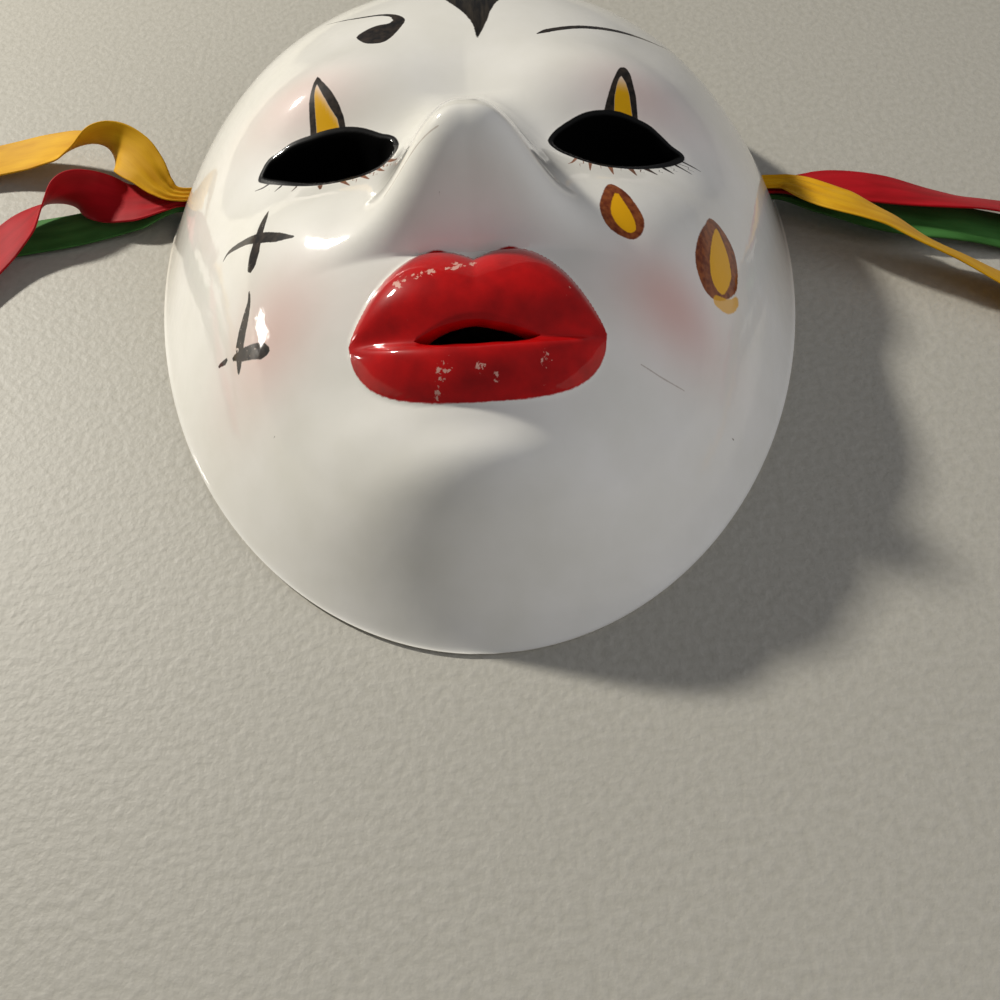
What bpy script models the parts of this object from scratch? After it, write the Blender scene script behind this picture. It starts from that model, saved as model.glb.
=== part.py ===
"""Glazed clown mask with three satin ribbons through a hole at each temple.

Metres, +Z up. The mask lies on its open back with the rim flat on z = 0. +Z comes out of
the face, +Y runs from the chin to the crown, and +X is the right-hand side of the face as
one looks at it. The origin is the middle of the mask on the plane of the rim.
"""

import math

import bmesh
import bpy
import numpy as np
from mathutils import Matrix, Vector

# Mask, driving sizes
HALF_WIDTH = 0.0765  # middle to the rim at the widest level
HALF_LENGTH = 0.0915  # middle to the rim at the chin and at the crown
DOME_HEIGHT = 0.0490  # plain front of the dome, without nose, lips and chin
WALL = 0.0040  # thickness of the cast wall
RIM_WIDTH = 0.0048  # flat edge that the mask lies on
HOLE_RADIUS = 0.0036  # ribbon hole in the side wall
HOLE_LEVEL = 0.0058  # middle of that hole above the rim
HOLE_ALONG = {-1: 0.0360, 1: 0.0290}  # middle of the left and of the right hole towards the crown

# Ribbons
RIBBON_WIDTH = 0.0120  # flat width
RIBBON_THICKNESS = 0.0006  # stand-in for thin satin
PINCH_WIDTH = 0.0046  # gathered width inside the hole
STACK_STEP = 0.0014  # one ribbon's middle to the next one's in the hole
PINCH_RUN = 0.0180  # length over which a gathered ribbon opens to its full width

# Proportions of the carving. Places are shares of the half width and the half length,
# heights are shares of the dome height.
WIDEST = 0.235  # level of the greatest width
CHIN_POWER = 1.95  # roundness of the outline below the widest level
CROWN_POWER = 2.3  # and above it
DOME_POWER = 3.1
RELIEF_FADE = 0.35  # share of the way in from the rim over which the relief comes up
LOW_RELIEF_FADE = 0.22  # the same for the lips and the chin
FOREHEAD = dict(at=(0.0, 0.50), spread=(0.46, 0.24), rise=0.03)
CHEEK = dict(at=(0.46, -0.27), spread=(0.22, 0.20), rise=0.10)
BROW = dict(at=(0.37, 0.17), spread=(0.20, 0.09), rise=0.07)
SOCKET = dict(at=(0.37, -0.015), spread=(0.19, 0.10), rise=-0.12)
NOSE_ROOT_DIP = dict(at=(0.0, 0.12), spread=(0.12, 0.09), rise=-0.04)
MUZZLE = dict(at=(0.0, -0.54), spread=(0.34, 0.17), rise=0.10)
LIP_FOLD = dict(at=(0.0, -0.730), spread=(0.22, 0.035), rise=-0.03)
CHIN = dict(at=(0.0, -0.835), spread=(0.36, 0.125), rise=0.32)
NOSE = dict(
    root=0.13,
    tip=-0.235,
    base=-0.365,
    rise=0.430,
    half=0.160,
    root_half=0.095,
    wing=0.055,
    squareness=2.6,
)
EYE = dict(at=(0.385, 0.000), half=(0.198, 0.078), tilt=-0.10, depth=0.12, power=1.8, bank=0.50)
EYE_EDGE = 1.06  # where the hollow starts, in half sizes of the eye
LIPS = dict(
    corner=(0.312, -0.520),
    bow=(0.088, -0.362),
    dip=-0.384,
    bottom=-0.700,
    rise=0.105,
    seam=-0.572,
    seam_depth=0.060,
)
MOUTH = dict(half=0.172, up=0.046, down=0.036, power=1.8)  # the cut between the lips
MOUTH_SLANT = math.radians(14)  # the cut runs up and inwards

# Grid of the faceted solid
OUTER_CELLS = (44, 52)
CORE_CELLS = (28, 32)
FINER_ACROSS = dict(at=0.50, spread=0.20, gain=0.9)  # rows draw together at the nose and mouth
FINER_ALONG = dict(at=0.36, spread=0.15, gain=1.2)
LEAST_RISE = 0.0004  # every point inside the rim's outline lies at least this far above it
CORE_FOOT = 0.0010  # height at which the inner wall turns straight down
BALL_RINGS = (0.45, 0.80, 0.97)  # rings of the ball, one wall in radius, that sets the inner face
BALL_TURNS = 12
SKIRT = 0.006  # how far a cutter reaches past the face it cuts
CUTTER_LENGTH = 8 * WALL  # cutters that go right through the wall
MOUTH_POINTS = 16
HOLE_SEGMENTS = 16
SHORTEST_EDGE = 0.00008  # shorter edges that the cuts leave are drawn together

GLAZE = (0.70, 0.68, 0.60)
GLAZE_ROUGHNESS = 0.12

CROWN_REACH = HALF_LENGTH * (1 - WIDEST)
CHIN_REACH = HALF_LENGTH * (1 + WIDEST)
WIDEST_Y = HALF_LENGTH * WIDEST


def clear_scene():
    for obj in list(bpy.data.objects):
        bpy.data.objects.remove(obj, do_unlink=True)
    for mesh in list(bpy.data.meshes):
        bpy.data.meshes.remove(mesh)


def make_collection(name):
    collection = bpy.data.collections.new(name)
    bpy.context.scene.collection.children.link(collection)
    return collection


def principled(name, colour, roughness, coat=0.0):
    material = bpy.data.materials.new(name)
    material.use_nodes = True
    shader = material.node_tree.nodes["Principled BSDF"]
    shader.inputs["Base Color"].default_value = (*colour, 1.0)
    shader.inputs["Roughness"].default_value = roughness
    shader.inputs["Metallic"].default_value = 0.0
    shader.inputs["Coat Weight"].default_value = coat
    return material


# Relief of the face


def smooth(t):
    t = np.clip(t, 0.0, 1.0)
    return t * t * (3 - 2 * t)


def outline_level(y):
    """0 at the widest level, 1 at the chin's and the crown's rim."""
    below = y < WIDEST_Y
    reach = np.where(below, CHIN_REACH, CROWN_REACH)
    return (np.abs(y - WIDEST_Y) / reach) ** np.where(below, CHIN_POWER, CROWN_POWER)


def rim_share(x, y):
    """0 in the middle of the dome, 1 on the rim's outline."""
    return np.sqrt((x / HALF_WIDTH) ** 2 + outline_level(y))


def half_width_at(y):
    return HALF_WIDTH * np.sqrt(np.clip(1 - outline_level(y), 0, 1))


def swell(a, b, form):
    """A soft round swelling, on both sides of the face where it is off the middle."""
    across = (np.abs(a) - form["at"][0]) / form["spread"][0]
    along = (b - form["at"][1]) / form["spread"][1]
    return form["rise"] * np.exp(-(across**2 + along**2) / 2)


def nose_form(a, b):
    """A ridge that climbs from the root to the tip and turns under to the base."""
    up = np.clip((b - NOSE["tip"]) / (NOSE["root"] - NOSE["tip"]), 0, 1)
    under = np.clip((NOSE["tip"] - b) / (NOSE["tip"] - NOSE["base"]), 0, 1)
    bridge = 1 - 0.62 * up - 0.38 * smooth(up)
    ridge = np.where(b > NOSE["tip"], bridge, (1 - under**2) ** 1.2)
    half = np.where(
        b > NOSE["tip"],
        NOSE["half"] + (NOSE["root_half"] - NOSE["half"]) * up,
        NOSE["half"] + NOSE["wing"] * under,
    )
    return NOSE["rise"] * ridge * np.exp(-np.abs(a / half) ** NOSE["squareness"] * 0.8)


def eye_frame(a, b):
    """Place in an eye: -1 to 1 from the inner to the outer corner, and -1 to 1 up."""
    across = (np.abs(a) - EYE["at"][0]) / EYE["half"][0]
    along = (b - EYE["at"][1] + EYE["tilt"] * (np.abs(a) - EYE["at"][0])) / EYE["half"][1]
    return across, along


def eye_form(a, b):
    """A hollow of almond outline, a superellipse a little pointed at its corners."""
    across, along = eye_frame(a, b)
    power = EYE["power"]
    inside = (np.abs(across) ** power + np.abs(along) ** power) ** (1 / power)
    return -EYE["depth"] * smooth((EYE_EDGE - inside) / EYE["bank"])


def lip_edges(a):
    """Upper edge with its bow, lower edge, and the seam between the lips."""
    share = np.clip(np.abs(a) / LIPS["corner"][0], 0, 1)
    bow_share = LIPS["bow"][0] / LIPS["corner"][0]
    fall = np.clip((share - bow_share) / (1 - bow_share), 0, 1)
    top = LIPS["bow"][1] + (LIPS["corner"][1] - LIPS["bow"][1]) * fall**1.9
    top = top + (LIPS["dip"] - LIPS["bow"][1]) * np.clip(1 - share / bow_share, 0, 1) ** 2
    bottom = LIPS["corner"][1] + (LIPS["bottom"] - LIPS["corner"][1]) * np.sqrt(1 - share**2.1)
    seam = LIPS["seam"] + (LIPS["corner"][1] - LIPS["seam"]) * share**2
    return top, seam, bottom


def lip_form(a, b):
    """Two full rolls that meet in a groove."""
    top, seam, bottom = lip_edges(a)
    upper = b > seam
    band = np.where(upper, (b - seam) / (top - seam + 1e-6), (seam - b) / (seam - bottom + 1e-6))
    taper = 1 - np.clip(np.abs(a) / LIPS["corner"][0], 0, 1) ** 4
    roll = np.clip(1 - band**3.2, 0, 1) ** 0.6
    groove = LIPS["seam_depth"] * np.exp(-((band / 0.22) ** 2))
    return np.where(band < 1, (LIPS["rise"] * roll - groove) * taper, 0.0)


def face_height(x, y):
    """Height of the outer surface over the plane of the rim."""
    a = x / HALF_WIDTH
    b = y / HALF_LENGTH
    rim = rim_share(x, y)
    height = 1 - rim**DOME_POWER
    features = sum(
        swell(a, b, form) for form in (FOREHEAD, CHEEK, BROW, SOCKET, NOSE_ROOT_DIP, MUZZLE)
    )
    features = features + nose_form(a, b) + eye_form(a, b)
    height = height + features * smooth((1 - rim) / RELIEF_FADE)
    chin = swell(a, b, CHIN) + swell(a, b, LIP_FOLD)
    height = height + (chin + lip_form(a, b)) * smooth((1 - rim) / LOW_RELIEF_FADE)
    return DOME_HEIGHT * height


def core_height(x, y):
    """Height of the inner surface: everywhere at least one wall below the outer one."""
    lowest = face_height(x, y) - WALL
    for reach in BALL_RINGS:
        drop = WALL * math.sqrt(1 - reach**2)
        for turn in np.linspace(0, 2 * math.pi, BALL_TURNS, endpoint=False):
            dx = WALL * reach * math.cos(turn)
            dy = WALL * reach * math.sin(turn)
            lowest = np.minimum(lowest, face_height(x + dx, y + dy) - drop)
    return lowest


# Mask


def spaced(count, finer):
    """Shares from 0 to 1, closer together around one of them."""
    fine = np.linspace(0, 1, 400)
    density = 1 + finer["gain"] * np.exp(-(((fine - finer["at"]) / finer["spread"]) ** 2))
    total = np.concatenate([[0], np.cumsum((density[1:] + density[:-1]) / 2)])
    return np.interp(np.linspace(0, total[-1], count + 1), total, fine)


def dome_block(name, cells, height, inset, foot, floor, collection):
    """A solid under a domed surface: a grid lifted to the height, closed by a flat floor."""
    mesh = bpy.data.meshes.new(name)
    body = bmesh.new()
    bmesh.ops.create_grid(body, x_segments=cells[0], y_segments=cells[1], size=1.0)
    across = spaced(cells[0], FINER_ACROSS)
    along = spaced(cells[1], FINER_ALONG)
    grid = np.array([vert.co[:2] for vert in body.verts])
    column = np.interp((grid[:, 0] + 1) / 2, np.linspace(0, 1, cells[0] + 1), across)
    row = np.interp((grid[:, 1] + 1) / 2, np.linspace(0, 1, cells[1] + 1), along)
    y = -HALF_LENGTH * np.cos(row * math.pi)
    x = half_width_at(y) * np.sin((column - 0.5) * math.pi)
    rim = np.abs(grid).max(axis=1) > 0.9999
    x = x * (1 - inset / HALF_WIDTH)
    y = y * (1 - inset / HALF_LENGTH)
    z = np.where(rim, foot, np.maximum(height(x, y), foot + LEAST_RISE))
    for vert, place in zip(body.verts, zip(x, y, z)):
        vert.co = place
    bmesh.ops.remove_doubles(body, verts=body.verts, dist=1e-6)
    if floor < foot:
        rim_edges = [edge for edge in body.edges if edge.is_boundary]
        skirt = bmesh.ops.extrude_edge_only(body, edges=rim_edges)
        for vert in skirt["geom"]:
            if isinstance(vert, bmesh.types.BMVert):
                vert.co.z = floor
    bmesh.ops.holes_fill(body, edges=[edge for edge in body.edges if edge.is_boundary], sides=0)
    bmesh.ops.triangulate(body, faces=[face for face in body.faces if len(face.verts) > 4])
    bmesh.ops.recalc_face_normals(body, faces=body.faces)
    body.to_mesh(mesh)
    body.free()
    obj = bpy.data.objects.new(name, mesh)
    collection.objects.link(obj)
    return obj


def as_cutter(obj):
    obj.hide_render = True
    obj.display_type = "WIRE"
    return obj


def cut(obj, cutter):
    modifier = obj.modifiers.new("cut " + cutter.name, "BOOLEAN")
    modifier.operation = "DIFFERENCE"
    modifier.solver = "EXACT"
    modifier.object = cutter


def outline_prism(name, outline, direction, length, collection):
    """A closed prism: the outline carried both ways along a direction."""
    mesh = bpy.data.meshes.new(name)
    body = bmesh.new()
    verts = [body.verts.new(Vector(point) - direction * length / 2) for point in outline]
    face = body.faces.new(verts)
    moved = bmesh.ops.extrude_face_region(body, geom=[face])
    tops = [vert for vert in moved["geom"] if isinstance(vert, bmesh.types.BMVert)]
    bmesh.ops.translate(body, verts=tops, vec=direction * length)
    bmesh.ops.recalc_face_normals(body, faces=body.faces)
    body.to_mesh(mesh)
    body.free()
    obj = bpy.data.objects.new(name, mesh)
    collection.objects.link(obj)
    return as_cutter(obj)


def mouth_cutter(collection):
    """The parted lips: a flat almond along the seam, pointed at both ends."""
    half = MOUTH["half"] * HALF_WIDTH
    share = np.linspace(-1, 1, MOUTH_POINTS)
    seam = lip_edges(share * MOUTH["half"])[1] * HALF_LENGTH
    arch = 1 - np.abs(share) ** MOUTH["power"]
    top = seam + MOUTH["up"] * HALF_LENGTH * arch
    low = seam - MOUTH["down"] * HALF_LENGTH * arch
    level = face_height(np.zeros(1), np.array([LIPS["seam"] * HALF_LENGTH]))[0]
    points = [(x * half, y, level) for x, y in zip(share, low)]
    points += [(x * half, y, level) for x, y in zip(share[-2:0:-1], top[-2:0:-1])]
    inward = Vector((0, math.sin(MOUTH_SLANT), -math.cos(MOUTH_SLANT)))
    return outline_prism("mouth cutter", points, inward, CUTTER_LENGTH, collection)


def wall_at_hole(side):
    """How far out the rim lies level with a ribbon hole."""
    return float(half_width_at(np.array(HOLE_ALONG[side])))


def hole_cutter(side, collection):
    """A round drill through the side wall, level and square to the middle plane."""
    mesh = bpy.data.meshes.new("ribbon hole cutter")
    drill = bmesh.new()
    bmesh.ops.create_cone(
        drill,
        cap_ends=True,
        segments=HOLE_SEGMENTS,
        radius1=HOLE_RADIUS,
        radius2=HOLE_RADIUS,
        depth=CUTTER_LENGTH,
        matrix=Matrix.Rotation(math.pi / 2, 4, "Y"),
    )
    drill.to_mesh(mesh)
    drill.free()
    obj = bpy.data.objects.new("ribbon hole cutter", mesh)
    obj.location = (side * wall_at_hole(side), HOLE_ALONG[side], HOLE_LEVEL)
    collection.objects.link(obj)
    return as_cutter(obj)


def make_mask(parts, cutters):
    mask = dome_block("mask_shell", OUTER_CELLS, face_height, 0.0, 0.0, 0.0, parts)
    core = dome_block("core", CORE_CELLS, core_height, RIM_WIDTH, CORE_FOOT, -SKIRT, cutters)
    as_cutter(core)
    cut(mask, core)
    cut(mask, mouth_cutter(cutters))
    for side in (-1, 1):
        cut(mask, hole_cutter(side, cutters))
    weld = mask.modifiers.new("tidy cut edges", "WELD")
    weld.merge_threshold = SHORTEST_EDGE
    mask.data.materials.append(principled("white glaze", GLAZE, GLAZE_ROUGHNESS, coat=1.0))
    return mask


# Ribbons. Each one is pinched through a hole, opens, and drops to the surface that the mask
# lies on. A route point is how far out from the hole's mouth, how far towards the crown, the
# height over the rim's plane, and the bank in degrees, which turns the face to the chin.

RIBBONS = {
    "ribbon_yellow_right": dict(side=1, level=1, colour="yellow", route=[
        (0.0065, 0.0225, 0.0105, -14), (0.0105, 0.0150, 0.0128, -26),
        (0.0155, 0.0098, 0.0128, -33), (0.0205, 0.0062, 0.0125, -36),
        (0.0280, 0.0018, 0.0105, -40), (0.0366, -0.0019, 0.0074, -42),
        (0.0430, -0.0047, 0.0056, -38), (0.0500, -0.0092, 0.0043, -26),
        (0.0570, -0.0165, 0.0028, -12), (0.0630, -0.0270, 0.0014, -2),
        (0.0660, -0.0410, 0.0010, 0), (0.0640, -0.0560, 0.0010, 0), (0.0560, -0.0690, 0.0010, 0)]),
    "ribbon_red_right": dict(side=1, level=0, colour="red", route=[
        (0.0070, 0.0276, 0.0074, -2), (0.0120, 0.0254, 0.0090, -4),
        (0.0186, 0.0234, 0.0096, -6), (0.0256, 0.0218, 0.0096, -8),
        (0.0349, 0.0194, 0.0086, -24), (0.0435, 0.0180, 0.0072, -32),
        (0.0529, 0.0174, 0.0056, -28), (0.0660, 0.0156, 0.0038, -14),
        (0.0820, 0.0090, 0.0022, -4), (0.0945, -0.0035, 0.0012, 0),
        (0.1025, -0.0190, 0.0010, 0), (0.1060, -0.0360, 0.0010, 0)]),
    "ribbon_green_right": dict(side=1, level=-1, colour="green", route=[
        (0.0080, 0.0270, 0.0045, 0), (0.0140, 0.0240, 0.0047, 0), (0.0220, 0.0198, 0.0047, 0),
        (0.0310, 0.0166, 0.0045, 0), (0.0400, 0.0149, 0.0040, 0), (0.0520, 0.0126, 0.0028, 0),
        (0.0630, 0.0080, 0.0016, 0), (0.0720, 0.0000, 0.0010, 0), (0.0780, -0.0120, 0.0010, 0),
        (0.0805, -0.0265, 0.0010, 0), (0.0790, -0.0420, 0.0010, 0)]),
    "ribbon_yellow_left": dict(side=-1, level=1, colour="yellow", route=[
        (0.008, 0.0412, 0.0122, 6), (0.0125, 0.0452, 0.0148, 22),
        (0.017, 0.0478, 0.0160, 95), (0.022, 0.0492, 0.0156, 165),
        (0.036, 0.0512, 0.0112, 190), (0.050, 0.0530, 0.0075, 190), (0.064, 0.0530, 0.0042, 182),
        (0.079, 0.0490, 0.0018, 180), (0.093, 0.0400, 0.0010, 180), (0.103, 0.0265, 0.0010, 180),
        (0.1064, 0.0110, 0.0010, 180), (0.1064, -0.0050, 0.0010, 180)]),
    "ribbon_red_left": dict(side=-1, level=0, colour="red", route=[
        (0.008, 0.0358, 0.0072, 2), (0.012, 0.0364, 0.0082, 8), (0.017, 0.0370, 0.0104, 80),
        (0.022, 0.0370, 0.0108, 150), (0.030, 0.0338, 0.0094, 176),
        (0.038, 0.0275, 0.0076, 180), (0.045, 0.0200, 0.0060, 180),
        (0.051, 0.0100, 0.0036, 180), (0.055, -0.0020, 0.0014, 180), (0.056, -0.0160, 0.0010, 180),
        (0.053, -0.0310, 0.0010, 180), (0.045, -0.0450, 0.0010, 180)]),
    "ribbon_green_left": dict(side=-1, level=-1, colour="green", route=[
        (0.009, 0.0322, 0.0040, 0), (0.018, 0.0294, 0.0034, 0), (0.030, 0.0288, 0.0026, 0),
        (0.045, 0.0285, 0.0020, 0), (0.060, 0.0255, 0.0012, 0), (0.074, 0.0185, 0.0010, 0),
        (0.084, 0.0065, 0.0010, 0), (0.088, -0.0085, 0.0010, 0), (0.086, -0.0240, 0.0010, 0)]),
}
SATIN_ROUGHNESS = 0.35
SATIN = dict(yellow=(0.60, 0.30, 0.010), red=(0.42, 0.010, 0.020), green=(0.045, 0.14, 0.045))
TAIL = 0.034  # how far each ribbon reaches in from the hole's mouth
THROAT = (-0.014, 0.003)  # straight stretch through the hole, from the hole's mouth
RIBBON_SEGMENTS = 38
CURVE_STEPS = 12  # straight steps between two route points


def ribbon_points(spec):
    """Route points from the inner tail to the free end, and the bank at each, in radians."""
    side = spec["side"]
    hole = HOLE_ALONG[side]
    level = HOLE_LEVEL + spec["level"] * STACK_STEP
    rest = RIBBON_THICKNESS + (spec["level"] + 1) * STACK_STEP
    halfway = (THROAT[0] - TAIL) / 2
    points = [(-TAIL, hole, rest, 0), (halfway, hole, (rest + level) / 2, 0)]
    points += [(out, hole, level, 0) for out in THROAT]
    points += spec["route"]
    mouth = wall_at_hole(side)
    places = [Vector((side * (mouth + out), along, up)) for out, along, up, _ in points]
    return places, [math.radians(point[3]) for point in points]


def smooth_path(places, banks, count):
    """Even samples of a curve through the points, each with its bank."""
    ends = [places[0] * 2 - places[1]] + places + [places[-1] * 2 - places[-2]]
    fine = []
    for i in range(1, len(places)):
        before, start, stop, after = ends[i - 1 : i + 3]
        for step in range(CURVE_STEPS):
            t = step / CURVE_STEPS
            point = 0.5 * (
                2 * start
                + (stop - before) * t
                + (2 * before - 5 * start + 4 * stop - after) * t**2
                + (3 * start - before - 3 * stop + after) * t**3
            )
            fine.append((point, banks[i - 1] + (banks[i] - banks[i - 1]) * t))
    fine.append((places[-1], banks[-1]))
    steps = [0.0]
    for one, two in zip(fine, fine[1:]):
        steps.append(steps[-1] + (two[0] - one[0]).length)
    even = np.linspace(0, steps[-1], count + 1)
    curve = np.array([[*point, bank] for point, bank in fine])
    return np.stack([np.interp(even, steps, curve[:, k]) for k in range(4)], axis=1)


def make_ribbon(name, spec, collection):
    places, banks = ribbon_points(spec)
    path = smooth_path(places, banks, RIBBON_SEGMENTS)
    mouth = wall_at_hole(spec["side"])
    mesh = bpy.data.meshes.new(name)
    strip = bmesh.new()
    bmesh.ops.create_grid(strip, x_segments=1, y_segments=RIBBON_SEGMENTS, size=1.0)
    tangents = np.gradient(path[:, :3], axis=0)
    for vert in strip.verts:
        row = round((vert.co.y + 1) / 2 * RIBBON_SEGMENTS)
        place = Vector(path[row, :3])
        along = Vector(tangents[row]).normalized()
        flat = along.cross(Vector((0, 0, 1))).normalized()
        raised = flat.cross(along)
        bank = path[row, 3]
        side = flat * math.cos(bank) - raised * math.sin(bank) * spec["side"]
        out = abs(place.x) - mouth
        open_share = max(out - THROAT[1], THROAT[0] - out, 0) / PINCH_RUN
        width = PINCH_WIDTH + (RIBBON_WIDTH - PINCH_WIDTH) * float(smooth(open_share))
        vert.co = place + side * (width / 2) * vert.co.x
    strip.to_mesh(mesh)
    strip.free()
    obj = bpy.data.objects.new(name, mesh)
    collection.objects.link(obj)
    wall = obj.modifiers.new("satin", "SOLIDIFY")
    wall.thickness = RIBBON_THICKNESS
    wall.offset = 0.0
    colour = SATIN[spec["colour"]]
    mesh.materials.append(principled("satin " + spec["colour"], colour, SATIN_ROUGHNESS))
    return obj


def build():
    clear_scene()
    parts = make_collection("clown mask")
    cutters = make_collection("cutters")
    make_mask(parts, cutters)
    for name, spec in RIBBONS.items():
        make_ribbon(name, spec, parts)


build()
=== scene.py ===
import math

import bpy
import numpy as np
from mathutils import Matrix, Vector


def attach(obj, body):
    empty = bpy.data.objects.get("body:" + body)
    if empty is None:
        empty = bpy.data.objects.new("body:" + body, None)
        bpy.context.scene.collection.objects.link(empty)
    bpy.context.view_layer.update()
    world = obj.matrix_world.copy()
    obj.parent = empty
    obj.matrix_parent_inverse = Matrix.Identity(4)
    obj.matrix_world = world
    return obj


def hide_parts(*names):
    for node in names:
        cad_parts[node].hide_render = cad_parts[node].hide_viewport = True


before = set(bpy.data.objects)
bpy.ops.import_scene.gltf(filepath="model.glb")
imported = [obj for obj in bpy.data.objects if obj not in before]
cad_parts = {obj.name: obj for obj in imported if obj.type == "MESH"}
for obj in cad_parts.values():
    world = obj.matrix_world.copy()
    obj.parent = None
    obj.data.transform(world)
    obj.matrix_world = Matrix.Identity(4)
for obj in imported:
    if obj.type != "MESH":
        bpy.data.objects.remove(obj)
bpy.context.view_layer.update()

# A hand painted, glazed clown mask lying on its open back, with three satin ribbons at each
# temple. Metres, +Z out of the face, +Y from the chin to the crown, and the floor is z = 0.

mm = 0.001


# Small tools

def hexColour(code):
    # sRGB to linear: c / 12.92 up to 0.04045, and ((c + 0.055) / 1.055) ** 2.4 above it
    channels = [int(code[i:i + 2], 16) / 255 for i in (0, 2, 4)]
    return [c / 12.92 if c <= 0.04045 else ((c + 0.055) / 1.055) ** 2.4 for c in channels] + [1.0]


def addNode(tree, kind, inputs=None, stops=None, **settings):
    # one shader node with its settings, the two stops of its ramp, and its inputs: a value, the code
    # of a colour, or a link, where a node stands for its first output in use
    node = tree.nodes.new("ShaderNode" + kind)
    for name, value in settings.items():
        setattr(node, name, value)
    if stops:
        for element, (place, colour) in zip(node.color_ramp.elements, stops):
            element.position, element.color = place, hexColour(colour)
    for key, value in (inputs or {}).items():
        if isinstance(value, str):
            value = hexColour(value)
        if isinstance(value, bpy.types.Node):
            value = next(socket for socket in value.outputs if socket.enabled)
        if isinstance(value, bpy.types.NodeSocket):
            tree.links.new(value, node.inputs[key])
        else:
            node.inputs[key].default_value = value
    return node


def newMaterial(name):
    material = bpy.data.materials.new(name)
    material.use_nodes = True
    material.node_tree.nodes.clear()
    return material, material.node_tree


def buildMesh(name, points, faceGroups, materialIndex=None):
    # each group of faces is a table with one face a row, all with the same number of corners
    mesh = bpy.data.meshes.new(name)
    corners = np.concatenate([group.ravel() for group in faceGroups])
    sizes = np.concatenate([np.full(len(group), group.shape[1]) for group in faceGroups])
    starts = np.concatenate([[0], np.cumsum(sizes)[:-1]])
    mesh.vertices.add(len(points))
    mesh.vertices.foreach_set("co", np.asarray(points, np.float32).ravel())
    mesh.loops.add(len(corners))
    mesh.loops.foreach_set("vertex_index", corners.astype(np.int32))
    mesh.polygons.add(len(sizes))
    mesh.polygons.foreach_set("loop_start", starts.astype(np.int32))
    mesh.polygons.foreach_set("use_smooth", np.ones(len(sizes), bool))
    if materialIndex is not None:
        mesh.polygons.foreach_set("material_index", materialIndex.astype(np.int32))
    mesh.update(calc_edges=True)
    mesh.validate()
    obj = bpy.data.objects.new(name, mesh)
    bpy.context.scene.collection.objects.link(obj)
    return obj


def storeAttribute(mesh, name, values):
    attribute = mesh.attributes.new(name, "FLOAT", "POINT")
    attribute.data.foreach_set("value", np.asarray(values, np.float32))


def ease(t):
    # t * t * (3 - 2t), held between 0 and 1
    t = np.clip(t, 0, 1)
    return t * t * (3 - 2 * t)


def curveThrough(points, closed, steps=6):
    # p(t) = ((2b) + (c - a)t + (2a - 5b + 4c - d)t^2 + (3b - a - 3c + d)t^3) / 2 between b and c
    p = np.asarray(points, float)
    if closed:
        a, b, c, d = np.roll(p, 1, 0), p, np.roll(p, -1, 0), np.roll(p, -2, 0)
    else:
        q = np.vstack([2 * p[0] - p[1], p, 2 * p[-1] - p[-2]])
        a, b, c, d = q[:-3], q[1:-2], q[2:-1], q[3:]
    t = (np.arange(steps) / steps)[None, :, None]
    a, b, c, d = (k[:, None, :] for k in (a, b, c, d))
    run = (2 * b + (c - a) * t + (2 * a - 5 * b + 4 * c - d) * t**2
           + (3 * b - a - 3 * c + d) * t**3) / 2
    run = run.reshape(-1, p.shape[1])
    return run if closed else np.vstack([run, p[-1:]])


def outlineDistance(x, y, outline, reach):
    # least |p - a - t(b - a)| over the sides of a closed outline, t = ((p - a).(b - a)) / |b - a|^2
    # held to 0..1; negative where a line to the right crosses an odd number of sides
    result = np.full(x.shape, reach)
    low, high = outline.min(0) - reach, outline.max(0) + reach
    near = (x > low[0]) & (x < high[0]) & (y > low[1]) & (y < high[1])
    px, py = x[near][:, None], y[near][:, None]
    (ax, ay), (bx, by) = outline.T, np.roll(outline, -1, 0).T
    dx, dy = bx - ax, by - ay
    t = np.clip(((px - ax) * dx + (py - ay) * dy) / (dx * dx + dy * dy + 1e-18), 0, 1)
    away = np.sqrt(((px - ax - t * dx) ** 2 + (py - ay - t * dy) ** 2).min(1))
    crossed = ((ay > py) != (by > py)) & (px < dx * (py - ay) / (dy + 1e-15) + ax)
    inside = crossed.sum(1) % 2 == 1
    result[near] = np.minimum(np.where(inside, -away, away), reach)
    return result


# The mask's form: the same surface as the solid's, with finer lips, lids and edges.
# Places are shares of the half width and half length, rises are shares of the dome's height.

spacing = {     # of the mesh's columns and rows
    "bow": 0.9, "crowding": 0.9, "from": -72 * mm, "to": 24 * mm, "blend": 10 * mm,
    "endCrowding": 3.0, "endRun": 3 * mm,
}
mask = {
    "halfWidth": 0.0765, "halfLength": 0.0915, "domeHeight": 0.0490, "wall": 0.0040,
    "rimWidth": 0.0048, "widest": 0.235, "chinPower": 1.95, "crownPower": 2.3, "domePower": 3.1,
    "reliefFade": 0.35, "lowReliefFade": 0.22,
    "columns": 236, "rows": 292,            # cells of the outer face, the inner one has half
    "edgeLift": 0.9 * mm,                    # height at which the wall rounds into the rim
    "holeRadius": 3.6 * mm, "holeLevel": 5.8 * mm, "holeAlong": {-1: 0.0360, 1: 0.0290},
}
swells = {
    "forehead": {"at": (0.0, 0.50), "spread": (0.46, 0.24), "rise": 0.03},
    "cheek": {"at": (0.46, -0.27), "spread": (0.22, 0.20), "rise": 0.10},
    "brow": {"at": (0.37, 0.17), "spread": (0.20, 0.09), "rise": 0.07},
    "socket": {"at": (0.37, -0.015), "spread": (0.19, 0.10), "rise": -0.12},
    "noseRoot": {"at": (0.0, 0.12), "spread": (0.12, 0.09), "rise": -0.04},
    "muzzle": {"at": (0.0, -0.54), "spread": (0.34, 0.17), "rise": 0.10},
}
lowSwells = {
    "lipFold": {"at": (0.0, -0.730), "spread": (0.22, 0.035), "rise": -0.03},
    "chin": {"at": (0.0, -0.835), "spread": (0.36, 0.125), "rise": 0.32},
}
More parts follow.
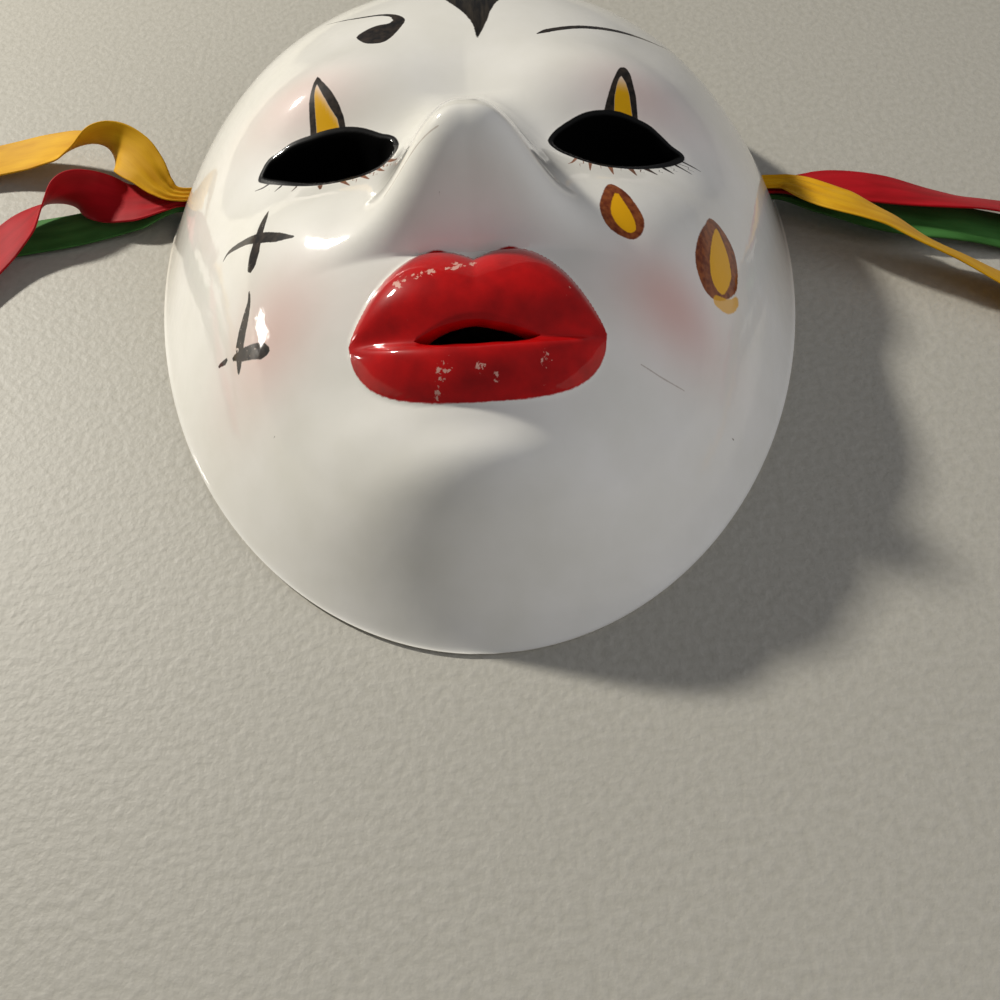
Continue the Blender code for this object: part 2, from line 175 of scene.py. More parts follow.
nose = {"root": 0.13, "tip": -0.235, "base": -0.365, "rise": 0.430, "half": 0.160,
        "rootHalf": 0.095, "wing": 0.055, "squareness": 2.6, "wrap": 0.8, "evenFall": 0.62, "tuck": 1.2}
lips = {"corner": (0.306, -0.520), "bow": (0.088, -0.362), "dip": -0.384, "bottom": -0.680,
        "rise": 0.105, "seam": -0.572, "seamDepth": 0.060, "seamWidth": 0.22,
        "topPower": 1.9, "bottomPower": 2.1, "rollPower": 3.2, "rollSoftness": 0.95}
mouth = {
    "reach": 11.4 * mm, "up": 3.6 * mm, "down": 3.0 * mm,   # the opening before the lips roll in
    "power": 1.8, "follow": 12 * mm, "give": 16 * mm,        # how far off the grid still bends
    "lean": 0.16,                                            # the arch peaks left of the middle
    "slant": 1.3 * mm, "roll": 2.6 * mm, "turns": 6,
    "holdFrom": 0.45, "holdRun": 0.45,                       # where that bend fades, shares of the width
}
eyes = {
    "depth": 5.9 * mm, "lid": 1.0 * mm, "bank": 3.4 * mm, "ridge": 0.20 * mm, "ridgeWidth": 0.6 * mm,
    # painted outlines, in mm across and along, from the photograph's own lids
    "left": [(-44.3, 1.6), (-42.3, 4.8), (-39.2, 5.6), (-36.5, 6.3), (-32.3, 6.4), (-28.7, 6.5),
             (-24.9, 6.2), (-21.9, 5.5), (-19.6, 4.5), (-17.4, 3.3), (-15.8, 2.6), (-14.5, 1.2),
             (-13.9, -1.6), (-14.9, -4.5), (-17.1, -7.0), (-20.4, -8.5), (-24.9, -8.9),
             (-29.5, -7.9), (-34.4, -5.4), (-39.5, -2.3), (-42.7, -0.3)],
    "right": [(15.8, -1.4), (17.3, 1.8), (20.2, 4.3), (23.7, 6.3), (27.9, 7.3), (31.7, 7.4),
              (35.2, 6.8), (37.5, 6.2), (39.8, 4.9), (42.0, 3.4), (44.2, 2.5), (44.6, 1.4),
              (43.8, 0.1), (40.9, -2.3), (36.3, -4.9), (31.5, -6.8), (27.0, -7.4), (23.7, -6.7),
              (20.6, -5.4), (17.4, -3.8)],
}
eyeCurves = [curveThrough(np.array(eyes[side]) * mm, True, 4) for side in ("left", "right")]


def outlineLevel(y):
    # (|y - widest| / reach) ** power, with its own reach and power to the chin and to the crown
    level = mask["widest"] * mask["halfLength"]
    below = y < level
    reach = mask["halfLength"] * np.where(below, 1 + mask["widest"], 1 - mask["widest"])
    return (np.abs(y - level) / reach) ** np.where(below, mask["chinPower"], mask["crownPower"])


def rimShare(x, y):
    # sqrt((x / halfWidth)^2 + outlineLevel): 0 in the middle, 1 on the rim
    return np.sqrt((x / mask["halfWidth"]) ** 2 + outlineLevel(y))


def halfWidthAt(y):
    return mask["halfWidth"] * np.sqrt(np.clip(1 - outlineLevel(y), 0, 1))


def swell(a, b, form):
    # rise * exp(-(((|a| - at0) / spread0)^2 + ((b - at1) / spread1)^2) / 2)
    across = (np.abs(a) - form["at"][0]) / form["spread"][0]
    along = (b - form["at"][1]) / form["spread"][1]
    return form["rise"] * np.exp(-(across**2 + along**2) / 2)


def noseForm(a, b):
    # rise * ridge(b) * exp(-wrap |a / half(b)| ** squareness): the ridge climbs to the tip, turns under
    up = np.clip((b - nose["tip"]) / (nose["root"] - nose["tip"]), 0, 1)
    under = np.clip((nose["tip"] - b) / (nose["tip"] - nose["base"]), 0, 1)
    fall = nose["evenFall"] * up + (1 - nose["evenFall"]) * ease(up)
    ridge = np.where(b > nose["tip"], 1 - fall, (1 - under**2) ** nose["tuck"])
    half = np.where(b > nose["tip"], nose["half"] + (nose["rootHalf"] - nose["half"]) * up,
                    nose["half"] + nose["wing"] * under)
    return nose["rise"] * ridge * np.exp(-np.abs(a / half) ** nose["squareness"] * nose["wrap"])


def lipEdges(a):
    # upper edge with its bow, seam and lower edge over the share s = |a| / corner
    share = np.clip(np.abs(a) / lips["corner"][0], 0, 1)
    bow = lips["bow"][0] / lips["corner"][0]
    fall = np.clip((share - bow) / (1 - bow), 0, 1)
    top = lips["bow"][1] + (lips["corner"][1] - lips["bow"][1]) * fall ** lips["topPower"]
    top = top + (lips["dip"] - lips["bow"][1]) * np.clip(1 - share / bow, 0, 1) ** 2
    belly = np.sqrt(1 - share ** lips["bottomPower"])
    bottom = lips["corner"][1] + (lips["bottom"] - lips["corner"][1]) * belly
    seam = lips["seam"] + (lips["corner"][1] - lips["seam"]) * share**2
    return top, seam, bottom


def lipForm(a, b):
    # (rise * (1 - band^power)^softness - depth * exp(-(band / width)^2)) * taper, with band 0 at the
    # seam and 1 at the edge
    top, seam, bottom = lipEdges(a)
    band = np.where(b > seam, (b - seam) / (top - seam + 1e-6), (seam - b) / (seam - bottom + 1e-6))
    taper = 1 - np.clip(np.abs(a) / lips["corner"][0], 0, 1) ** 4
    roll = np.clip(1 - np.clip(band, 0, 1) ** lips["rollPower"], 0, 1)
    roll = roll ** lips["rollSoftness"]
    groove = lips["seamDepth"] * np.exp(-((band / lips["seamWidth"]) ** 2))
    return np.where(band < 1, (lips["rise"] * roll - groove) * taper, 0.0)


def eyeHollow(x, y):
    # -depth * ease((inside - lid) / bank) + ridge * exp(-((inside - lid) / width)^2), from the lid's edge in
    total = np.zeros(x.shape)
    for curve in eyeCurves:
        inside = -outlineDistance(x, y, curve, 4 * mm)
        total = total - eyes["depth"] * ease((inside - eyes["lid"]) / eyes["bank"])
        total = total + eyes["ridge"] * np.exp(-((inside - eyes["lid"]) / eyes["ridgeWidth"]) ** 2)
    return total


def faceHeight(x, y):
    # dome * (1 - rim^power + swells * ease(inset / fade)) + the eyes
    a, b = x / mask["halfWidth"], y / mask["halfLength"]
    rim = rimShare(x, y)
    relief = sum(swell(a, b, form) for form in swells.values()) + noseForm(a, b)
    lowRelief = sum(swell(a, b, form) for form in lowSwells.values()) + lipForm(a, b)
    height = 1 - rim ** mask["domePower"] + relief * ease((1 - rim) / mask["reliefFade"])
    height = height + lowRelief * ease((1 - rim) / mask["lowReliefFade"])
    return mask["domeHeight"] * height + eyeHollow(x, y)


def coreHeight(x, y):
    # the outer face worn in by a ball of the wall's thickness: the least of
    # face(x + w r cos, y + w r sin) - w sqrt(1 - r^2) over a few rings r of the ball
    wall = mask["wall"]
    lowest = faceHeight(x, y) - wall
    for r in (0.45, 0.80, 0.97):
        for turn in np.linspace(0, 2 * math.pi, 12, endpoint=False):
            moved = faceHeight(x + wall * r * math.cos(turn), y + wall * r * math.sin(turn))
            lowest = np.minimum(lowest, moved - wall * math.sqrt(1 - r * r))
    return lowest


# The mask's mesh: an outer and an inner sheet on one grid, joined round the rim and the mouth

def gridPlaces(columns, rows):
    # x = halfWidth(y) sin(bow u) / sin(bow); rows stand closer from chin to eyes and at both ends
    half = mask["halfLength"]
    fine = np.linspace(-half, half, 2001)
    within = (ease((fine - spacing["from"]) / spacing["blend"])
              * ease((spacing["to"] - fine) / spacing["blend"]))
    atEnds = np.exp(-(half - np.abs(fine)) / spacing["endRun"])
    crowd = 1 + spacing["crowding"] * within + spacing["endCrowding"] * atEnds
    total = np.concatenate([[0], np.cumsum((crowd[1:] + crowd[:-1]) / 2)])
    y = np.interp(np.linspace(0, total[-1], rows + 1), total, fine)
    u = np.linspace(-1, 1, columns + 1)
    across = np.sin(spacing["bow"] * u) / math.sin(spacing["bow"])
    return across[None, :] * halfWidthAt(y)[:, None], y


def sheetIndex(rows, columns, seamRow, first, last):
    # numbers of the points: one at each pole, and the seam's points between the mouth's corners twice
    inner = 1 + np.arange((rows - 1) * (columns + 1)).reshape(rows - 1, columns + 1)
    top = inner[-1, -1] + 1
    below = np.vstack([np.zeros((1, columns + 1), int), inner, np.full((1, columns + 1), top)])
    above = below.copy()
    above[seamRow, first + 1:last] = top + 1 + np.arange(last - first - 1)
    return below, above


def sheetFaces(below, above, seamRow):
    quads = []
    for grid, start, stop in ((below, 1, seamRow), (above, seamRow, len(below) - 2)):
        a, b = grid[start:stop, :-1], grid[start:stop, 1:]
        c, d = grid[start + 1:stop + 1, 1:], grid[start + 1:stop + 1, :-1]
        quads.append(np.stack([a, b, c, d], axis=-1).reshape(-1, 4))
    foot = np.stack([below[0, :-1], below[1, 1:], below[1, :-1]], axis=-1)
    head = np.stack([above[-2, :-1], above[-2, 1:], above[-1, :-1]], axis=-1)
    return np.concatenate(quads), np.concatenate([foot, head])


def rimLoop(grid):
    # once round the sheet's edge: bottom pole, right side, top pole, left side
    return np.concatenate([grid[:1, 0], grid[1:-1, -1], grid[-1:, 0], grid[-2:0:-1, 0]])


def openMouth(x, y, seamRow, sign, corner, up, down, shift):
    # rows bend to the seam by exp(-(d / follow)^2), fading out before the rim, and part by
    # arch * (1 - |d| / give)^2
    level = y[seamRow]
    distance = (y - level)[:, None]
    seam = lipEdges(x / mask["halfWidth"])[1] * mask["halfLength"]
    share = np.clip(np.abs(x) / corner, 0, 1)
    lean = 1 - mouth["lean"] * (x / corner) * (1 - share**2)
    arch = (1 - share ** mouth["power"]) * lean
    give = np.clip(1 - np.abs(distance) / mouth["give"], 0, 1) ** 2
    outwards = np.abs(x) / (halfWidthAt(y)[:, None] + 1e-9)
    hold = 1 - ease((outwards - mouth["holdFrom"]) / mouth["holdRun"])
    bent = y[:, None] + (seam - level) * hold * np.exp(-((distance / mouth["follow"]) ** 2))
    rise = np.where(sign > 0, up, -down) * arch
    return bent + (rise + shift * (1 - share**4)) * give


def sheetPoints(x, y, seamRow, first, last, height, up, down, shift, inset=0.0):
    # the grid lifted to its height, with the seam's row placed once for each lip
    corner = x[seamRow, last]
    side = np.where(np.arange(len(y)) >= seamRow, 1, -1)[:, None]
    places = []
    for sign in (side, np.ones((1, 1))):
        yy = openMouth(x, y, seamRow, sign, corner, up, down, shift)
        xx = x.copy()
        if inset:                              # the inner sheet draws in by the rim's width
            draw = ease((rimShare(x, y[:, None]) - 0.62) / 0.38) * inset
            xx = xx * (1 - draw / mask["halfWidth"])
            yy = yy * (1 - draw / mask["halfLength"])
        places.append((xx, yy))
    (xx, yy), (xTop, yTop) = places
    lowRow = openMouth(x, y, seamRow, -np.ones((1, 1)), corner, up, down, shift)
    yy[seamRow] = lowRow[seamRow]
    flat = [np.array([[0.0, yy[0, 0]]]),
            np.stack([xx[1:-1], yy[1:-1]], axis=-1).reshape(-1, 2),
            np.array([[0.0, yy[-1, 0]]]),
            np.stack([xTop[seamRow, first + 1:last], yTop[seamRow, first + 1:last]], axis=-1)]
    flat = np.concatenate(flat)
    z = height(flat[:, 0], flat[:, 1])
    return np.column_stack([flat, z])


def makeMaskMesh():
    columns, rows = mask["columns"], mask["rows"]
    x, y = gridPlaces(columns, rows)
    seamRow = 2 * int(round(np.abs(y[::2] - lips["seam"] * mask["halfLength"]).argmin()))
    last = 2 * int(np.abs(x[seamRow, ::2] - mouth["reach"]).argmin())
    first = columns - last
    lift = mask["edgeLift"]
    outer = sheetPoints(x, y, seamRow, first, last,
                        lambda px, py: np.hypot(np.maximum(faceHeight(px, py), 0), lift),
                        mouth["up"], mouth["down"], 0.0)
    inner = sheetPoints(x[::2, ::2], y[::2], seamRow // 2, first // 2, last // 2,
                        lambda px, py: np.maximum(coreHeight(px, py), lift),
                        mouth["up"], mouth["down"], mouth["slant"], mask["rimWidth"])
    below, above = sheetIndex(rows, columns, seamRow, first, last)
    innerBelow, innerAbove = sheetIndex(rows // 2, columns // 2, seamRow // 2, first // 2, last // 2)
    innerBelow, innerAbove = innerBelow + len(outer), innerAbove + len(outer)
    points = [outer, inner]
    count = len(outer) + len(inner)
    quads, fans = sheetFaces(below, above, seamRow)
    innerQuads, innerFans = sheetFaces(innerBelow, innerAbove, seamRow // 2)
    groups = {"outer": [quads, fans], "inner": [innerQuads[:, ::-1], innerFans[:, ::-1]],
              "rim": [], "lip": []}

    # rim: a profile of (inwards, height) carried round the outline
    loop, innerLoop = rimLoop(below), rimLoop(innerBelow)
    place = outer[loop]
    outward = np.stack([2 * place[:, 0] / mask["halfWidth"] ** 2,
                        (outlineLevel(place[:, 1] + 1e-6) - outlineLevel(place[:, 1] - 1e-6)) / 2e-6], 1)
    outward /= np.linalg.norm(outward, axis=1)[:, None]
    profile = np.array([(0.10, 0.45), (0.35, 0.12), (0.80, 0.0), (2.4, 0.0), (4.0, 0.0),
                        (4.45, 0.12), (4.70, 0.45)]) * mm
    ring = loop
    for inwards, height in profile:
        flat = place[:, :2] - outward * inwards
        points.append(np.column_stack([flat, np.full(len(flat), height)]))
        nextRing = count + np.arange(len(loop))
        count += len(loop)
        groups["rim"].append(np.stack([np.roll(ring, -1), ring, nextRing, np.roll(nextRing, -1)], 1))
        ring = nextRing
    groups["rim"].append(np.stack([np.roll(ring, -2)[::2], np.roll(ring, -1)[::2], ring[::2],
                                   innerLoop, np.roll(innerLoop, -1)], 1))

    # lips: a cubic curve from the outer edge of the slit round to the inner edge
    steps = np.arange(1, mouth["turns"]) / mouth["turns"]
    cornerColumns = None
    allPoints = np.concatenate([outer, inner])
    for grid, innerGrid, sign in ((above, innerAbove, 1), (below, innerBelow, -1)):
        edge = grid[seamRow, first:last + 1]
        innerEdge = innerGrid[seamRow // 2, first // 2:last // 2 + 1]
        start, behind = allPoints[edge], allPoints[grid[seamRow + sign, first:last + 1]]
        target, innerBehind = (allPoints[k] for k in (innerEdge, innerGrid[seamRow // 2 + sign,
                                                                           first // 2:last // 2 + 1]))
        half = np.arange(len(innerEdge))
        full = np.arange(len(edge)) / 2
        target, innerBehind = (np.stack([np.interp(full, half, k[:, c]) for c in range(3)], 1)
                               for k in (target, innerBehind))
        tangent, innerTangent = start - behind, target - innerBehind
        tangent /= np.linalg.norm(tangent, axis=1)[:, None]
        innerTangent /= np.linalg.norm(innerTangent, axis=1)[:, None]
        share = np.clip(np.abs(start[:, 0]) / abs(start[0, 0]), 0, 1)
        gap = (mouth["up"] + mouth["down"]) * (1 - share ** mouth["power"])
        reach = np.minimum(mouth["roll"], 0.45 * gap)[:, None]
        rings = [edge]
        for t in steps:
            made = (start * (1 - t) ** 3 + (start + tangent * reach) * 3 * t * (1 - t) ** 2
                    + (target + innerTangent * reach / 2) * 3 * t * t * (1 - t) + target * t**3)
            index = count + np.arange(len(edge))
            if cornerColumns is not None:
                index = np.concatenate([[cornerColumns[len(rings) - 1][0]],
                                        count + np.arange(len(edge) - 2),
                                        [cornerColumns[len(rings) - 1][1]]])
                made = made[1:-1]
            points.append(made)
            count += len(made)
            rings.append(index)
        if cornerColumns is None:
            cornerColumns = [(ring[0], ring[-1]) for ring in rings[1:]]
        for one, two in zip(rings, rings[1:]):
            quad = np.stack([one[1:], one[:-1], two[:-1], two[1:]], 1)
            groups["lip"].append(quad if sign > 0 else quad[:, ::-1])
        one = rings[-1]
        five = np.stack([one[2::2], one[1::2], one[:-2:2], innerEdge[:-1], innerEdge[1:]], 1)
        groups["lip"].append(five if sign > 0 else five[:, ::-1])

    faces, index = [], []
    for name, material in (("outer", 0), ("lip", 0), ("rim", 1), ("inner", 1)):
        for group in groups[name]:
            faces.append(group)
            index.append(np.full(len(group), material))
    return np.concatenate(points), faces, np.concatenate(index)


def drillRibbonHole(obj, side):
    # a round drill through the side wall, level and square to the middle plane
    bpy.ops.mesh.primitive_cylinder_add(
        vertices=48, radius=mask["holeRadius"], depth=0.034, rotation=(0, math.pi / 2, 0),
        location=(side * float(halfWidthAt(np.array(mask["holeAlong"][side]))),
                  mask["holeAlong"][side], mask["holeLevel"]))
    drill = bpy.context.object
    cut = obj.modifiers.new("ribbon hole", "BOOLEAN")
    cut.operation, cut.solver, cut.object = "DIFFERENCE", "EXACT", drill
    bpy.context.view_layer.update()
    made = bpy.data.meshes.new_from_object(obj.evaluated_get(bpy.context.evaluated_depsgraph_get()))
    obj.modifiers.clear()
    obj.data = made
    bpy.data.objects.remove(drill)


# The painting, all in mm across and along the face

paint = {
    "hair": [(2.7, 28.0), (2.3, 31.4), (1.6, 34.5), (0.0, 38.0), (-1.9, 41.2), (-5.5, 46.5), (-13, 54),
             (-24, 59), (-38, 60), (-52, 55), (-61, 47), (-68, 38), (-76, 34), (-92, 46), (-70, 100),
             (0, 110), (70, 100), (92, 46), (78, 33), (70, 38), (63, 46), (54, 54), (42, 59), (28, 59),
             (18, 54), (11.5, 47.5), (7.9, 43.0), (6.1, 38.6), (5.1, 34.5), (3.9, 30.8)],
    "browBlob": [(-23.2, 33.2), (-22.6, 31.2), (-21.3, 29.2), (-19.6, 28.2), (-17.2, 28.3), (-15.4, 30.4),
                 (-13.6, 34.0), (-12.7, 36.6), (-13.3, 38.6), (-15.2, 39.9), (-16.0, 39.4),
                 (-15.3, 37.4), (-16.4, 36.4), (-18.6, 36.4), (-21.0, 35.4)],
    "spikesOuter": [[(-32.4, 4.0), (-32.5, 9.1), (-32.5, 12.2), (-32.1, 14.5), (-31.4, 17.0),
                     (-30.6, 18.6), (-29.7, 16.5), (-27.7, 13.5), (-26.2, 10.7), (-25.2, 8.0),
                     (-24.7, 4.0)],
                    [(27.6, 4.5), (27.8, 6.9), (28.7, 9.4), (29.8, 12.3), (31.0, 15.0), (31.8, 16.6),
                     (32.6, 17.4), (33.5, 17.1), (34.1, 15.8), (34.5, 13.3), (34.9, 10.9),
                     (35.0, 7.0), (35.0, 4.5)]],
    "spikesInner": [[(-31.0, 3.0), (-31.2, 9.7), (-31.3, 13.4), (-31.0, 16.6), (-29.6, 13.3),
                     (-28.1, 10.3), (-26.6, 7.9), (-25.6, 3.0)],
                    [(29.6, 3.0), (30.3, 10.1), (31.0, 12.5), (31.9, 14.9), (32.9, 13.3),
                     (33.5, 10.8), (34.1, 3.0)]],
    "dropsOuter": [[(26.5, -16.1), (24.9, -19.6), (23.8, -24.4), (25.0, -28.4), (28.6, -29.9),
                    (31.1, -28.5), (32.3, -24.8), (30.4, -19.9), (28.6, -17.2)],
                   [(48.1, -13.7), (46.2, -17.0), (44.4, -20.7), (42.7, -26.2), (43.1, -29.9),
                    (45.0, -31.8), (48.2, -30.8), (52.3, -26.2), (53.6, -21.8), (53.4, -17.1),
                    (51.2, -14.3)]],
    "dropsInner": [[(27.4, -18.9), (25.9, -24.1), (26.8, -27.2), (28.8, -28.5), (30.4, -27.5),
                    (30.2, -24.9), (28.8, -21.4)],
                   [(48.9, -15.6), (46.5, -23.3), (46.3, -28.0), (48.0, -29.4), (49.6, -28.3),
                    (51.6, -23.7), (51.4, -20.1), (50.4, -17.3)]],
    "dropSmear": [(53.0, -26.2), (52.6, -28.8), (49.8, -31.8), (46.6, -32.4), (47.0, -30.6),
                  (50.4, -28.8)],
}

# rows of points in mm, half widths in mm along the stroke, and how dry the brush was or, for the
# lashes, how brown the paint is
strokes = [
    ([(15.4, 28.3), (17.5, 29.6), (20.7, 31.1), (25.2, 33.0), (29.7, 34.4), (34.4, 35.8),
      (39.2, 37.3), (43.0, 38.9), (46.2, 41.4), (49.2, 45.0)],
     [0.15, 0.75, 0.75, 0.7, 0.7, 0.62, 0.42, 0.24, 0.14, 0.05], 0.3),
    ([(-14.2, 38.4), (-15.9, 40.0), (-18.2, 41.1), (-22.6, 42.2), (-27.1, 44.0), (-31.5, 46.5)],
     [0.9, 0.55, 0.36, 0.28, 0.18, 0.06], 0.2),
    ([(-40.6, -10.9), (-41.2, -13.6), (-42.1, -18.0), (-42.9, -21.6), (-43.5, -24.0)],
     [0.12, 0.7, 1.0, 1.35, 1.05], 0.9),
    ([(-44.1, -27.9), (-44.2, -29.6), (-45.0, -31.3), (-46.0, -32.9), (-46.9, -34.6), (-47.2, -36.4),
      (-47.7, -38.9)],
     [0.15, 0.45, 0.9, 1.15, 1.2, 1.0, 0.35], 1.0),
]
crossStrokes = [
    ([(-51.7, -14.6), (-50.6, -14.0), (-48.9, -14.4), (-45.2, -16.2), (-43.0, -17.5),
      (-40.9, -19.0), (-37.3, -21.6), (-33.8, -23.6)],
     [0.12, 0.35, 0.55, 0.8, 1.0, 1.15, 0.95, 0.2], 0.5),
    ([(-40.0, -40.4), (-41.4, -39.6), (-43.3, -38.4), (-46.0, -37.0), (-49.0, -35.5)],
     [0.5, 1.1, 1.1, 1.0, 0.4], 1.0),
    ([(-50.9, -34.5), (-53.2, -33.6)],
     [0.5, 0.3], 0.8),
]
lashes = [
    ([(-41.6, -0.9), (-43.2, -1.2), (-45.2, -0.9)], [0.22, 0.16, 0.06], 0.0),
    ([(-38.5, -2.8), (-40.4, -4.2)], [0.26, 0.08], 0.0),
    ([(-35.1, -4.9), (-36.2, -6.5)], [0.28, 0.08], 0.2),
    ([(-29.9, -7.7), (-29.6, -10.1)], [0.60, 0.15], 0.6),
    ([(-25.2, -8.7), (-23.4, -12.0)], [0.55, 0.10], 0.8),
    ([(-21.2, -8.4), (-19.5, -11.4)], [0.50, 0.10], 1.0),
    ([(-18.2, -7.2), (-16.4, -10.6)], [0.50, 0.10], 1.0),
    ([(-15.9, -5.6), (-13.4, -9.6)], [0.55, 0.12], 1.0),
    ([(21.2, -5.3), (20.2, -7.6), (19.2, -9.0)], [0.34, 0.2, 0.06], 1.0),
    ([(23.9, -6.3), (23.4, -10.8)], [0.42, 0.08], 0.9),
    ([(27.8, -7.0), (28.0, -11.3)], [0.55, 0.08], 1.0),
    ([(32.0, -6.2), (32.9, -9.4)], [0.70, 0.12], 0.6),
    ([(35.2, -5.0), (37.7, -6.7)], [0.75, 0.10], 0.1),
    ([(39.2, -3.2), (41.7, -4.5)], [0.45, 0.08], 0.0),
    ([(42.0, -1.2), (45.9, -2.2)], [0.28, 0.06], 0.0),
    ([(43.7, 0.4), (48.3, 0.0)], [0.24, 0.06], 0.0),
]
cracks = [
    ([(-4.3, -24.0), (-10.0, -24.3), (-15.9, -25.8)], [0.10, 0.14, 0.08], 0.0),
    ([(11.0, -22.7), (14.0, -23.3), (17.3, -23.4)], [0.08, 0.10, 0.06], 0.0),
    ([(29.4, -50.2), (34.0, -50.6), (38.9, -50.4)], [0.08, 0.12, 0.06], 0.0),
]
specks = [(-5.2, -29.6, 0.18), (9.1, -27.5, 0.18), (10.3, -30.6, 0.15), (-15.6, -29.1, 0.18),
          (49.9, -51.9, 0.26), (11.3, -73.5, 0.18), (-40.1, -53.3, 0.22), (52.1, -62.8, 0.42)]
blushes = [(36.2, -38.6, 11, 8, 1.0), (-39.4, -38.5, 12, 9, 0.75), (-34.4, 13.7, 12, 7, 0.60),
           (35.8, 11.4, 12, 7, 0.55)]
wornLip = [(-22.3, -40.0, 1.1, 0.85), (-17.5, -41.2, 1.3, 0.80), (-13.0, -41.6, 1.8, 0.85),
           (-9.8, -41.3, 1.4, 0.80), (-7.6, -41.0, 1.6, 0.85), (-3.2, -40.0, 1.7, 0.85),
           (-0.2, -38.9, 1.3, 0.85), (16.0, -43.5, 1.5, 0.65), (-6.1, -58.3, 2.0, 0.75),
           (0.3, -58.6, 1.1, 0.85), (3.1, -59.6, 1.0, 0.90), (-7.2, -60.8, 1.2, 0.75),
           (11.5, -56.2, 1.4, 0.85), (11.5, -61.7, 1.6, 0.85), (8.5, -62.3, 1.2, 0.80)]


def strokeField(x, y, group, reach=3.0):
    # for the nearest stroke: signed distance beside it, half width there less what lies beyond
    # its end and past the reach, and its dryness or brownness
    best = np.full(x.shape, 1e3)
    beside, half, trait = np.full(x.shape, reach), np.full(x.shape, -reach), np.zeros(x.shape)
    for points, halves, own in group:
        run = curveThrough(points, False, 5)
        widths = np.interp(np.linspace(0, 1, len(run)), np.linspace(0, 1, len(halves)), halves)
        low, high = run.min(0) - reach, run.max(0) + reach
        near = np.nonzero((x > low[0]) & (x < high[0]) & (y > low[1]) & (y < high[1]))[0]
        px, py = x[near][:, None], y[near][:, None]
        (ax, ay), (bx, by) = run[:-1].T, run[1:].T
        dx, dy = bx - ax, by - ay
        length = np.hypot(dx, dy) + 1e-9
        free = ((px - ax) * dx + (py - ay) * dy) / length**2
        t = np.clip(free, 0, 1)
        away = np.hypot(px - ax - t * dx, py - ay - t * dy)
        k = away.argmin(1)
        row = np.arange(len(near))
        away, t, free = away[row, k], t[row, k], free[row, k]
        side = ((px[:, 0] - ax[k]) * dy[k] - (py[:, 0] - ay[k]) * dx[k]) / length[k]
        atEnd = ((k == 0) & (free < 0)) | ((k == len(dx) - 1) & (free > 1))
        beyond = np.where(atEnd, np.abs(free - t) * length[k], 0)
        side = np.where(atEnd, side, np.copysign(away, side))
        width = widths[k] + (widths[k + 1] - widths[k]) * t
        take = away < best[near]
        chosen = near[take]
        best[chosen] = away[take]
        beside[chosen] = side[take]
        half[chosen] = (width - beyond * 1.5 - np.maximum(away - 1.6, 0))[take]
        trait[chosen] = own
    return beside, half, trait


def paintFace(mesh):
    # every painted shape as a distance in mm from its edge, negative inside, kept on the points
    co = np.empty(len(mesh.vertices) * 3, np.float32)
    mesh.vertices.foreach_get("co", co)
    x, y = (co.reshape(-1, 3)[:, :2].astype(float) / mm).T
    smoothOutline = lambda points: curveThrough(points, True, 5)
    area = lambda outlines: np.min([outlineDistance(x, y, smoothOutline(o), 6.0) for o in outlines], 0)
    straight = lambda outlines: np.min([outlineDistance(x, y, np.array(o, float), 6.0) for o in outlines], 0)
    share = np.linspace(-1, 1, 121)
    top, seam, bottom = lipEdges(share * lips["corner"][0] * 0.9999)
    across = share * lips["corner"][0] * mask["halfWidth"] / mm
    edge = mask["halfLength"] / mm
    lipOutline = np.concatenate([np.column_stack([across, top * edge]),
                                 np.column_stack([across[::-1], bottom[::-1] * edge])])
    values = {
        # the eyes' outline: black paint on the lids, painted shade in the hollows
        "eyePaintAndShade": area([eyes["left"], eyes["right"]]),
        "hairPaint": area([paint["hair"]]),
        "browPaint": area([paint["browBlob"]]),
        "spikeEdge": straight(paint["spikesOuter"]),
        "spikeFill": straight(paint["spikesInner"]),
        "dropEdge": area(paint["dropsOuter"]),
        "dropFill": area(paint["dropsInner"]),
        "dropSmear": area([paint["dropSmear"]]),
        "lipPaint": outlineDistance(x, y, lipOutline, 6.0) + 0.10,
        "speckPaint": np.min([np.hypot(x - sx, y - sy) - r for sx, sy, r in specks], 0),
    }
    for name, trait, group in (("ink", "Dry", strokes), ("cross", "Dry", crossStrokes),
                               ("lash", "Brown", lashes), ("crack", None, cracks)):
        values[name + "Beside"], values[name + "Half"], own = strokeField(x, y, group)
        if trait:
            values[name + trait] = own
    # the spikes' yellow fades out upwards, on the left one also to the right
    left = ease((10.6 - (x + 31.2) * 1.45 - (y - 6.4) * 0.95) / 4.0) * (x < 0)
    right = ease((16.0 - y) / 5.0) * (x > 0)
    values["spikeYellow"] = left + right
    values["blush"] = np.max([s * np.exp(-((x - bx) / w) ** 2 - ((y - by) / h) ** 2)
                              for bx, by, w, h, s in blushes], 0)
    values["lipWear"] = np.max([s * np.exp(-((x - wx) ** 2 + (y - wy) ** 2) / r**2)
                                for wx, wy, r, s in wornLip], 0)
    # a darker beige wedge beside each ribbon hole, near the rim, that runs out towards the cheek
    outwards = rimShare(x * mm, y * mm)
    wedgeLeft = ease((outwards - 0.84) / 0.12) * ease((y + 10) / 34) * ease((38 - y) / 16) * (x < 0)
    wedgeRight = ease((outwards - 0.86) / 0.10) * ease((y + 22) / 34) * ease((34 - y) / 16) * (x > 0)
    values["rimBeigeWedge"] = wedgeLeft + wedgeRight
    for name, field in values.items():
        storeAttribute(mesh, name, field)


# Materials of the mask

